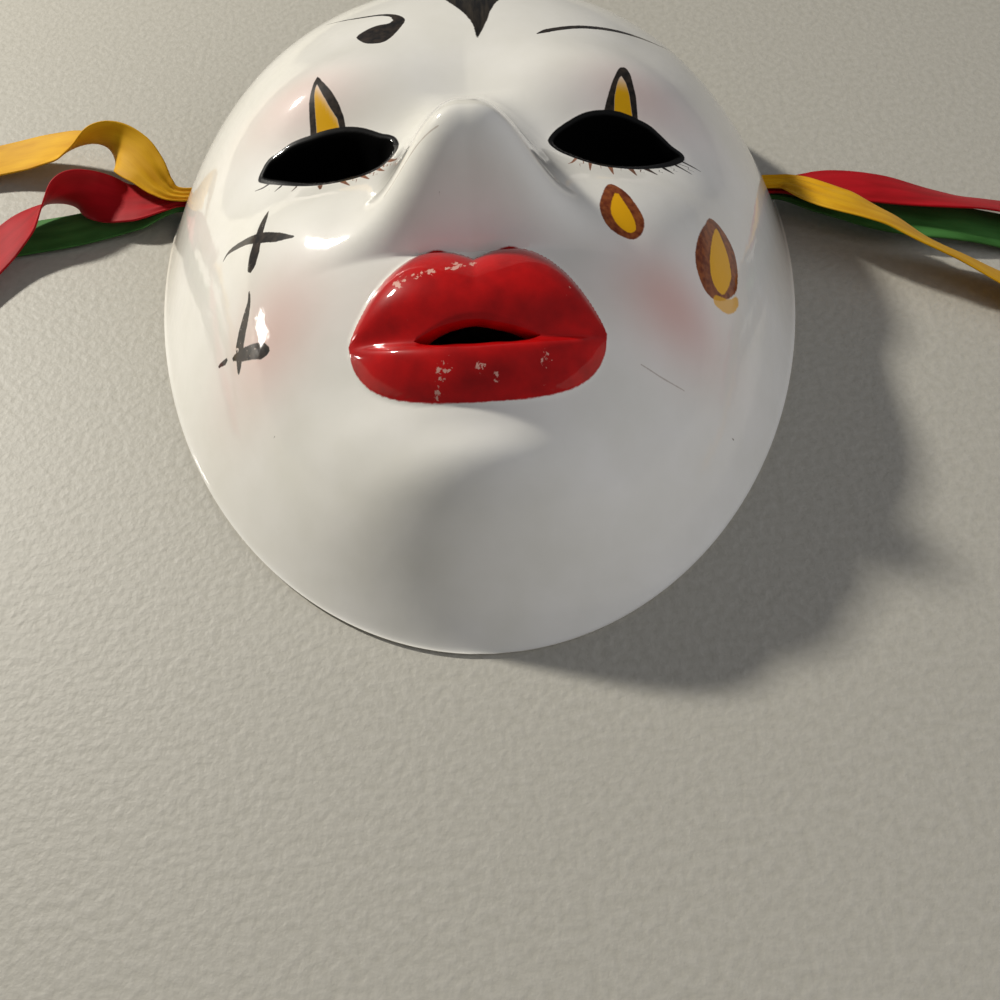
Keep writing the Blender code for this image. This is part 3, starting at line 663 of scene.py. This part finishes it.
def whiteEarthenwareGlaze():
    # Cast white earthenware, painted by hand and dipped in a clear glaze: the eye sees a chalky
    # white under a hard wet coat, soft ripples in the highlights, and colours with brush edges.
    material, tree = newMaterial("whiteEarthenwareGlaze")
    place = addNode(tree, "TexCoord").outputs["Object"]

    def field(name):
        return addNode(tree, "Attribute", attribute_name=name).outputs["Fac"]

    # the hand's wobble along a painted edge, 1.6 mm long, with finer bristle marks on it
    wobble = addNode(tree, "TexNoise", {"Vector": place, "Scale": 620.0, "Detail": 2.0})
    bristle = addNode(tree, "TexNoise", {"Vector": place, "Scale": 2600.0, "Detail": 1.0})
    shake = addNode(tree, "Math", {0: wobble, 1: 0.5}, operation="SUBTRACT")
    rough = addNode(tree, "Math", {0: bristle, 1: 0.5}, operation="SUBTRACT")
    shake = addNode(tree, "Math", {0: shake, 1: 0.35}, operation="MULTIPLY")
    shake = addNode(tree, "Math", {0: rough, 1: 0.30, 2: shake}, operation="MULTIPLY_ADD")

    def inside(distance, shaking, soft):
        # 1 inside a painted area, from its distance in mm and the hand's wobble
        moved = addNode(tree, "Math", {0: shake, 1: shaking, 2: distance}, operation="MULTIPLY_ADD")
        return addNode(tree, "MapRange", {"Value": moved, "From Min": soft, "From Max": -soft})

    def alongStroke(name, shaking):
        # 1 where the distance beside the stroke is less than its half width
        off = addNode(tree, "Math", {0: field(name + "Beside")}, operation="ABSOLUTE")
        left = addNode(tree, "Math", {0: off, 1: field(name + "Half")}, operation="SUBTRACT")
        return inside(left, shaking, 0.07)

    # body: warm white, with the faint unevenness of a glaze 12 mm across
    cloud = addNode(tree, "TexNoise", {"Vector": place, "Scale": 80.0, "Detail": 3.0})
    colour = addNode(tree, "ValToRGB", {"Fac": cloud},
                     stops=[(0.30, "EBE9E0"), (0.70, "F2F0E9")])
    # a darker beige tint near the rim beside each ribbon hole
    beigeWedge = addNode(tree, "Math", {0: field("rimBeigeWedge"), 1: 0.42}, operation="MULTIPLY")
    glow = addNode(tree, "Math", {0: field("blush"), 1: 0.62}, operation="MULTIPLY")
    crazing = addNode(tree, "Math", {0: alongStroke("crack", 0.3), 1: 0.45}, operation="MULTIPLY")

    # lips: two coats of red, worn through to pale pink in flecks
    coats = addNode(tree, "TexNoise", {"Vector": place, "Scale": 210.0, "Detail": 4.0})
    red = addNode(tree, "ValToRGB", {"Fac": coats},
                  stops=[(0.32, "A3080A"), (0.68, "C70D0E")])
    flecks = addNode(tree, "TexNoise", {"Vector": place, "Scale": 900.0, "Detail": 5.0, "Roughness": 0.62})
    worn = addNode(tree, "Math", {0: field("lipWear"), 1: 0.36, 2: flecks}, operation="MULTIPLY_ADD")
    worn = addNode(tree, "MapRange", {"Value": worn, "From Min": 0.755, "From Max": 0.80})
    red = addNode(tree, "Mix", {0: worn, 6: red, 7: "E0A99A"}, data_type="RGBA")

    # drops: a streaky brown outline round a flat yellow, smeared at one foot
    streak = addNode(tree, "TexNoise", {"Vector": place, "Scale": 700.0, "Detail": 2.0})
    brown = addNode(tree, "ValToRGB", {"Fac": streak},
                    stops=[(0.35, "6B2A0E"), (0.65, "965025")])
    smear = addNode(tree, "Math", {0: inside(field("dropSmear"), 1.0, 0.12), 1: 0.8}, operation="MULTIPLY")

    # hair: near black, dragged out in streaks along the strokes
    stretched = addNode(tree, "Mapping", {"Vector": place, "Scale": (1.0, 0.12, 0.3)})
    drag = addNode(tree, "TexNoise", {"Vector": stretched, "Scale": 900.0, "Detail": 3.0})
    hair = addNode(tree, "ValToRGB", {"Fac": drag},
                   stops=[(0.42, "110E0B"), (0.72, "3B342A")])

    # spikes: a black outline, and yellow that fades up into the white
    spike = inside(field("spikeFill"), 0.3, 0.08)
    fill = addNode(tree, "Math", {0: spike, 1: field("spikeYellow")}, operation="MULTIPLY")
    outline = addNode(tree, "Math", {0: inside(field("spikeEdge"), 0.3, 0.08), 1: spike},
                      operation="SUBTRACT", use_clamp=True)
    ink = addNode(tree, "ValToRGB", {"Fac": streak},
                  stops=[(0.35, "161311"), (0.70, "3A3028")])

    # strokes of a dry brush: flakes open up inside them
    brushed = []
    for name in ("ink", "cross"):
        flake = addNode(tree, "Math", {0: field(name + "Dry"), 1: 0.21, 2: flecks}, operation="MULTIPLY_ADD")
        solid = addNode(tree, "MapRange", {"Value": flake, "From Min": 0.90, "From Max": 0.84})
        brushed.append(addNode(tree, "Math", {0: alongStroke(name, 0.5), 1: solid}, operation="MULTIPLY"))
    lashInk = addNode(tree, "Mix", {0: field("lashBrown"), 6: "241C18", 7: "9A6A52"},
                      data_type="RGBA")

    # each colour is laid over the ones before it, and the eyes come last in solid black: black paint on the
    # lids, painted shade in the hollows behind them
    layers = [
        (beigeWedge, "B9A78C"), (glow, "DFA298"), (crazing, "7A5A3C"),
        (inside(field("speckPaint"), 0.3, 0.10), "5A4632"),
        (inside(field("lipPaint"), 0.35, 0.08), red),
        (inside(field("dropEdge"), 0.6, 0.10), brown), (smear, "F0B000"),
        (inside(field("dropFill"), 0.6, 0.10), "F0B000"),
        (inside(field("hairPaint"), 0.8, 0.12), hair),
        (fill, "E0A800"), (outline, ink), (inside(field("browPaint"), 0.4, 0.08), ink),
        (brushed[0], ink), (brushed[1], ink), (alongStroke("lash", 0.35), lashInk),
        # eyes: real black paint on the lid band, painted shade in the hollow behind it
        (inside(field("eyePaintAndShade"), 0.3, 0.08), "050505"),
    ]
    for cover, paintHere in layers:
        colour = addNode(tree, "Mix", {0: cover, 6: colour, 7: paintHere}, data_type="RGBA")

    # ripples of the poured glaze, 4 mm apart and about 0.02 mm deep
    ripple = addNode(tree, "TexNoise", {"Vector": place, "Scale": 240.0, "Detail": 2.0})
    bump = addNode(tree, "Bump", {"Height": ripple, "Strength": 0.25, "Distance": 0.0002})
    # deep in the eyes the black turns matt and loses its reflections, from 0.7 to 1.2 mm inside their edge:
    # painted shade standing for the dark inside behind the eyes
    past = addNode(tree, "Math", {0: field("eyePaintAndShade"), 1: 0.95}, operation="ADD")
    eyeHollowShade = inside(past, 0.0, 0.25)
    coatBesideEyeShade = addNode(tree, "Math", {0: 1.0, 1: eyeHollowShade}, operation="SUBTRACT")
    dull = addNode(tree, "MapRange", {"Value": eyeHollowShade, "To Min": 0.42, "To Max": 0.95})
    tint = addNode(tree, "Mix", {0: eyeHollowShade, 6: "FFFFFF", 7: "060606"},
                   data_type="RGBA")
    shader = addNode(tree, "BsdfPrincipled", {
        "Base Color": colour, "Roughness": dull, "IOR": 1.5, "Specular IOR Level": 0.1,
        "Coat Weight": coatBesideEyeShade, "Specular Tint": tint, "Coat Roughness": 0.06, "Coat IOR": 1.5,
        "Normal": bump, "Coat Normal": bump})
    addNode(tree, "OutputMaterial", {"Surface": shader})
    return material


def bareEarthenware():
    # The same cast body inside and under the rim, where the glaze was only wiped thin: a flat,
    # slightly grainy cream with a dull shine and a few pinholes.
    material, tree = newMaterial("bareEarthenware")
    place = addNode(tree, "TexCoord").outputs["Object"]
    cloud = addNode(tree, "TexNoise", {"Vector": place, "Scale": 60.0, "Detail": 4.0})
    colour = addNode(tree, "ValToRGB", {"Fac": cloud},
                     stops=[(0.30, "D8D2C2"), (0.70, "E5E0D3")])
    # grog of the clay, 0.5 mm, drawn a little coarser than real so that it shows
    grain = addNode(tree, "TexNoise", {"Vector": place, "Scale": 1800.0, "Detail": 2.0})
    bump = addNode(tree, "Bump", {"Height": grain, "Strength": 0.35, "Distance": 0.0002})
    shader = addNode(tree, "BsdfPrincipled", {
        "Base Color": colour, "Roughness": 0.55, "IOR": 1.5, "Coat Weight": 0.15,
        "Coat Roughness": 0.3, "Normal": bump})
    addNode(tree, "OutputMaterial", {"Surface": shader})
    return material


print("mask: mesh")
points, faces, materialIndex = makeMaskMesh()
maskPiece = buildMesh("paintedMask", points, faces, materialIndex)
maskPiece.data.materials.append(whiteEarthenwareGlaze())
maskPiece.data.materials.append(bareEarthenware())
print("mask: ribbon holes")
for holeSide in (-1, 1):
    drillRibbonHole(maskPiece, holeSide)
maskPiece.data.set_sharp_from_angle(angle=math.radians(52))
print("mask: painting")
paintFace(maskPiece.data)
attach(maskPiece, "root")
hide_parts("mask_shell")


# Ribbons. Each is pleated through its hole, opens over 12 mm and falls to the floor.
# A route point is how far out from the hole's mouth, how far along, how high, and the bank in degrees.

ribbonCut = {
    "width": 12 * mm, "thickness": 0.32 * mm, "selvedge": 0.10 * mm, "pinchWidth": 4.6 * mm,
    "stackStep": 1.4 * mm, "pinchRun": 12 * mm, "tail": 34 * mm, "throat": (-14 * mm, -1.5 * mm),
    "restThickness": 0.6 * mm, "pleats": 3, "pleatHeight": 0.36 * mm, "pleatRest": 0.25, "pleatFade": 1.8,
    "curl": 0.35 * mm, "ripple": 0.22 * mm, "rippleRun": 5.2 * mm, "edgeFrom": 0.86, "edgeRun": 0.08,
    "rows": 300, "cells": 28,
}
ribbons = {
    "yellowRibbonRight": {
        "node": "ribbon_yellow_right", "side": 1, "level": 1, "colour": "yellow", "wave": 0.0,
        "route": [(3.0, 26.0, 8.8, 2), (9.6, 16.6, 12.0, -12), (16.0, 11.2, 12.4, -24),
                  (21.2, 8.0, 12.0, -28), (28.0, 3.6, 10.2, -32), (36.0, -0.4, 7.6, -32),
                  (43.0, -4.7, 5.6, -30), (50.0, -9.2, 4.3, -22), (57.0, -16.5, 2.8, -12),
                  (63.0, -27.0, 1.4, -2), (66.0, -41.0, 1.0, 0), (64.0, -56.0, 1.0, 0),
                  (56.0, -69.0, 1.0, 0)]},
    "redRibbonRight": {
        "node": "ribbon_red_right", "side": 1, "level": 0, "colour": "red", "wave": 1.3,
        "route": [(3.0, 28.8, 6.2, 0), (7.0, 27.6, 7.2, -2), (12.0, 25.8, 8.2, -4), (18.6, 24.2, 8.6, -5),
                  (25.6, 22.6, 8.6, -8), (34.9, 20.2, 8.0, -20), (43.5, 18.6, 6.9, -28),
                  (52.9, 17.6, 5.6, -26), (66.0, 15.6, 3.8, -14), (82.0, 9.0, 2.2, -4),
                  (94.5, -3.5, 1.2, 0), (102.5, -19.0, 1.0, 0), (106.0, -36.0, 1.0, 0)]},
    "greenRibbonRight": {
        "node": "ribbon_green_right", "side": 1, "level": -1, "colour": "green", "wave": 2.6,
        "route": [(8.0, 27.0, 4.5, 0), (14.0, 24.0, 4.7, 0), (22.0, 19.8, 4.7, 0), (31.0, 16.6, 4.5, 0),
                  (40.0, 14.9, 4.0, 0), (52.0, 12.6, 2.8, 0), (63.0, 8.0, 1.6, 0), (72.0, 0.0, 1.0, 0),
                  (78.0, -12.0, 1.0, 0), (80.5, -26.5, 1.0, 0), (79.0, -42.0, 1.0, 0)]},
    "yellowRibbonLeft": {
        "node": "ribbon_yellow_left", "side": -1, "level": 1, "colour": "yellow", "wave": 0.7,
        "route": [(3.0, 37.6, 9.0, 4), (7.0, 41.6, 11.8, 12), (12.0, 46.4, 13.4, 30), (17.0, 50.0, 13.2, 86),
                  (22.0, 52.4, 11.8, 150), (30.0, 55.4, 9.0, 182), (40.0, 57.8, 6.0, 186),
                  (51.0, 58.0, 3.6, 182), (64.0, 55.4, 2.2, 180), (79.0, 49.0, 1.2, 180),
                  (93.0, 39.0, 1.0, 180), (103.0, 25.5, 1.0, 180), (106.4, 11.0, 1.0, 180),
                  (106.4, -5.0, 1.0, 180)]},
    "redRibbonLeft": {
        "node": "ribbon_red_left", "side": -1, "level": 0, "colour": "red", "wave": 2.0,
        "route": [(3.0, 35.6, 5.9, 0), (8.0, 35.6, 5.8, 2), (14.0, 35.8, 6.0, 10), (20.0, 36.8, 7.6, 48),
                  (25.5, 37.0, 9.1, 92), (31.0, 34.6, 8.4, 136), (37.0, 29.4, 6.4, 168),
                  (43.0, 22.0, 4.4, 180), (48.5, 12.5, 2.8, 180),
                  (52.0, 2.0, 1.6, 180), (54.6, -10.0, 1.0, 180), (54.0, -24.0, 1.0, 180),
                  (49.0, -37.0, 1.0, 180)]},
    "greenRibbonLeft": {
        "node": "ribbon_green_left", "side": -1, "level": -1, "colour": "green", "wave": 3.3,
        "route": [(3.0, 35.8, 4.2, 0), (9.0, 35.4, 3.0, 0), (18.0, 34.0, 2.0, 0), (30.0, 31.0, 1.6, 0),
                  (45.0, 28.5, 1.2, 0), (60.0, 25.0, 1.0, 0), (74.0, 18.0, 1.0, 0), (84.0, 6.5, 1.0, 0),
                  (88.0, -8.5, 1.0, 0), (86.0, -24.0, 1.0, 0)]},
}


def ribbonPath(spec):
    # points from the inner tail through the hole to the free end, evenly spaced, with their bank
    side, hole = spec["side"], mask["holeAlong"][spec["side"]]
    mouthAt = float(halfWidthAt(np.array(hole)))
    level = mask["holeLevel"] + spec["level"] * ribbonCut["stackStep"]
    rest = ribbonCut["restThickness"] + (spec["level"] + 1) * ribbonCut["stackStep"]
    tail, throat = ribbonCut["tail"], ribbonCut["throat"]
    rows = [(-tail, hole, rest, 0), ((throat[0] - tail) / 2, hole, (rest + level) / 2, 0)]
    rows += [(out, hole, level, 0) for out in throat]
    rows += [(out * mm, along * mm, up * mm, bank) for out, along, up, bank in spec["route"]]
    rows = np.array(rows)
    knots = np.column_stack([side * (mouthAt + rows[:, 0]), rows[:, 1:3], np.radians(rows[:, 3])])
    fine = curveThrough(knots[:, :3], False, 12)
    bank = np.interp(np.arange(len(fine)) / 12, np.arange(len(knots)), knots[:, 3])
    run = np.concatenate([[0], np.cumsum(np.linalg.norm(np.diff(fine, axis=0), axis=1))])
    even = np.linspace(0, run[-1], ribbonCut["rows"] + 1)
    path = np.stack([np.interp(even, run, fine[:, k]) for k in range(3)], axis=1)
    return path, np.interp(even, run, bank), even, mouthAt


def makeRibbon(name, spec, material):
    # p(s, v) = path + across width(s) v / 2 + normal (pleat(s) cos(pi k v) + curl (v^2 - 1/3) + ripple(s))
    path, bank, run, mouthAt = ribbonPath(spec)
    soft = np.ones(9) / 9
    bank = np.convolve(np.pad(bank, 4, mode="edge"), soft, "valid")
    along = np.gradient(path, axis=0)
    along /= np.linalg.norm(along, axis=1)[:, None]
    flat = np.cross(along, [0, 0, 1])
    flat /= np.linalg.norm(flat, axis=1)[:, None]
    raised = np.cross(flat, along)
    across = flat * np.cos(bank)[:, None] - raised * (np.sin(bank) * spec["side"])[:, None]
    normal = np.cross(along, across)
    out = np.abs(path[:, 0]) - mouthAt
    away = np.maximum(np.maximum(out - ribbonCut["throat"][1], ribbonCut["throat"][0] - out), 0)
    opened = ease(away / ribbonCut["pinchRun"])
    lasting = ease(1 - away / (ribbonCut["pleatFade"] * ribbonCut["pinchRun"]))
    width = ribbonCut["pinchWidth"] + (ribbonCut["width"] - ribbonCut["pinchWidth"]) * opened
    v = np.linspace(-1, 1, ribbonCut["cells"] + 1)
    rest = ribbonCut["pleatRest"]
    pleat = ribbonCut["pleatHeight"] * (rest + (1 - rest) * (1 - opened)) * lasting
    height = pleat[:, None] * np.cos(math.pi * ribbonCut["pleats"] * v + spec["wave"])[None, :]
    height = height + ribbonCut["curl"] * opened[:, None] * (v**2 - 1 / 3)[None, :]
    ripple = ribbonCut["ripple"] * np.sin(run / ribbonCut["rippleRun"] + spec["wave"])
    height = height + (opened * ripple)[:, None]
    middle = path[:, None, :] + across[:, None, :] * (width[:, None] * v[None, :] / 2)[:, :, None]
    middle = middle + normal[:, None, :] * height[:, :, None]
    edge = ease((np.abs(v) - ribbonCut["edgeFrom"]) / ribbonCut["edgeRun"])
    half = (ribbonCut["thickness"] + ribbonCut["selvedge"] * edge) / 2
    upper = middle + normal[:, None, :] * half[None, :, None]
    lower = middle - normal[:, None, :] * half[None, :, None]
    ring = np.concatenate([upper, lower[:, ::-1]], axis=1)
    count = ring.shape[1]
    index = np.arange(ring.shape[0] * count).reshape(ring.shape[0], count)
    a, d = index[:-1], np.roll(index, -1, 1)[:-1]
    b, c = index[1:], np.roll(index, -1, 1)[1:]
    walls = np.stack([a, b, c, d], axis=-1).reshape(-1, 4)
    k = np.arange(ribbonCut["cells"])
    firstCap, lastCap = (np.stack([end[k], end[k + 1], end[count - 2 - k], end[count - 1 - k]], 1)
                         for end in (index[0], index[-1]))
    lastCap = lastCap[:, [1, 0, 3, 2]]
    obj = buildMesh(name, ring.reshape(-1, 3), [walls, firstCap, lastCap])
    # the map's u runs along the ribbon and its v across, both in widths of the ribbon
    vv = np.concatenate([v, v[::-1]]) / 2 + 0.5
    table = np.stack([np.broadcast_to(run[:, None] / ribbonCut["width"], ring.shape[:2]),
                      np.broadcast_to(vv[None, :], ring.shape[:2])], axis=-1).reshape(-1, 2)
    corners = np.empty(len(obj.data.loops), np.int32)
    obj.data.loops.foreach_get("vertex_index", corners)
    layer = obj.data.uv_layers.new(name="weave")
    layer.data.foreach_set("uv", table[corners].astype(np.float32).ravel())
    obj.data.materials.append(material)
    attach(obj, "root")
    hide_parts(spec["node"])
    print("ribbon", name, "length", round(float(run[-1]), 4))


def wovenSatin(name, dark, light):
    # Narrow polyester satin: long floats of thread along the ribbon give a soft band of shine,
    # a tight selvedge at both edges and a little fuzz.
    material, tree = newMaterial(name)
    weave = addNode(tree, "UVMap", uv_map="weave")
    # warp threads 0.25 mm apart, 48 across the 12 mm, drawn as coarse as they have to be to show
    warp = addNode(tree, "Mapping", {"Vector": weave, "Scale": (1.6, 48.0, 1.0)})
    threads = addNode(tree, "TexNoise", {"Vector": warp, "Scale": 1.0, "Detail": 2.0})
    broad = addNode(tree, "Mapping", {"Vector": weave, "Scale": (0.8, 3.0, 1.0)})
    shade = addNode(tree, "TexNoise", {"Vector": broad, "Scale": 1.0, "Detail": 2.0})
    mixed = addNode(tree, "Math", {0: threads, 1: 0.22, 2: shade}, operation="MULTIPLY_ADD")
    colour = addNode(tree, "ValToRGB", {"Fac": mixed},
                     stops=[(0.42, dark), (0.80, light)])
    bump = addNode(tree, "Bump", {"Height": threads, "Strength": 0.25, "Distance": 0.0001})
    shader = addNode(tree, "BsdfPrincipled", {
        "Base Color": colour, "Roughness": 0.62, "Specular IOR Level": 0.2, "Sheen Weight": 0.04,
        "Sheen Roughness": 0.4, "Normal": bump})
    addNode(tree, "OutputMaterial", {"Surface": shader})
    return material


satins = {
    "yellow": wovenSatin("yellowSatin", "C98F08", "E0AC1A"),
    "red": wovenSatin("redSatin", "93060F", "B40E1B"),
    "green": wovenSatin("greenSatin", "2E5A26", "467A3C"),
}
for ribbonName, ribbonSpec in ribbons.items():
    makeRibbon(ribbonName, ribbonSpec, satins[ribbonSpec["colour"]])


# Floor, light and camera

def emulsionFloor():
    # Rolled emulsion paint: matt, pale grey beige, with the small bumps that a roller leaves.
    material, tree = newMaterial("rolledEmulsion")
    place = addNode(tree, "TexCoord").outputs["Object"]
    peel = addNode(tree, "TexNoise", {"Vector": place, "Scale": 560.0, "Detail": 4.0})
    colour = addNode(tree, "ValToRGB", {"Fac": peel},
                     stops=[(0.3, "B2AFA4"), (0.7, "BCB9AF")])
    bump = addNode(tree, "Bump", {"Height": peel, "Strength": 0.35, "Distance": 0.0007})
    shader = addNode(tree, "BsdfPrincipled", {
        "Base Color": colour, "Roughness": 0.55, "Normal": bump})
    addNode(tree, "OutputMaterial", {"Surface": shader})
    return material


floorSize = 2.4
corner = floorSize / 2
floor = buildMesh("floor", np.array([(-corner, -corner, 0), (corner, -corner, 0), (corner, corner, 0),
                                     (-corner, corner, 0)]), [np.array([[0, 1, 2, 3]])])
floor.data.materials.append(emulsionFloor())

studio = {
    "key": {"at": (-0.64, 0.40, 0.58), "size": (0.07, 0.07), "power": 9.2, "colour": "FFFAF0"},
    "window": {"at": (-0.80, 0.12, 0.05), "size": (0.08, 0.05), "power": 0.4, "colour": "FFF8F0"},
    "fill": {"at": (0.72, -0.40, 0.50), "size": (0.9, 0.9), "power": 3.4, "colour": "F8F8FF"},
}
for lightName, spec in studio.items():
    data = bpy.data.lights.new(lightName, "AREA")
    data.shape, data.size, data.size_y = "RECTANGLE", spec["size"][0], spec["size"][1]
    data.energy, data.color = spec["power"], hexColour(spec["colour"])[:3]
    lamp = bpy.data.objects.new(lightName, data)
    lamp.location = spec["at"]
    lamp.rotation_euler = (Vector((0, 0, 0.02)) - lamp.location).to_track_quat("-Z", "Y").to_euler()
    lamp.visible_glossy = lightName != "fill"   # the fill lifts shadows and leaves no reflection
    bpy.context.scene.collection.objects.link(lamp)

world = bpy.data.worlds.new("studio")
world.use_nodes = True
bpy.context.scene.world = world
backdrop = world.node_tree.nodes["Background"]
backdrop.inputs["Color"].default_value = hexColour("E8E9EC")
backdrop.inputs["Strength"].default_value = 0.11
bpy.context.scene.view_settings.view_transform = "Standard"

# the photograph was taken close up, from below the chin, with the head tipped 3 degrees
view = {"at": (0.0025, -0.1710, 0.1730), "elevation": math.radians(56.5), "roll": math.radians(3.0),
        "lens": 36.0, "sensor": 36.0}
forward = Vector((0, math.cos(view["elevation"]), -math.sin(view["elevation"])))
level = Vector((1, 0, 0))
upright = level.cross(forward)
right = math.cos(view["roll"]) * level - math.sin(view["roll"]) * upright
up = math.sin(view["roll"]) * level + math.cos(view["roll"]) * upright
lens = bpy.data.cameras.new("camera")
lens.sensor_width, lens.lens = view["sensor"], view["lens"]
lens.clip_start, lens.clip_end = 0.01, 10.0
camera = bpy.data.objects.new("camera", lens)
bpy.context.scene.collection.objects.link(camera)
x0, y0, z0 = view["at"]
camera.matrix_world = Matrix(((right.x, up.x, -forward.x, x0), (right.y, up.y, -forward.y, y0),
                              (right.z, up.z, -forward.z, z0), (0, 0, 0, 1)))
bpy.context.scene.camera = camera
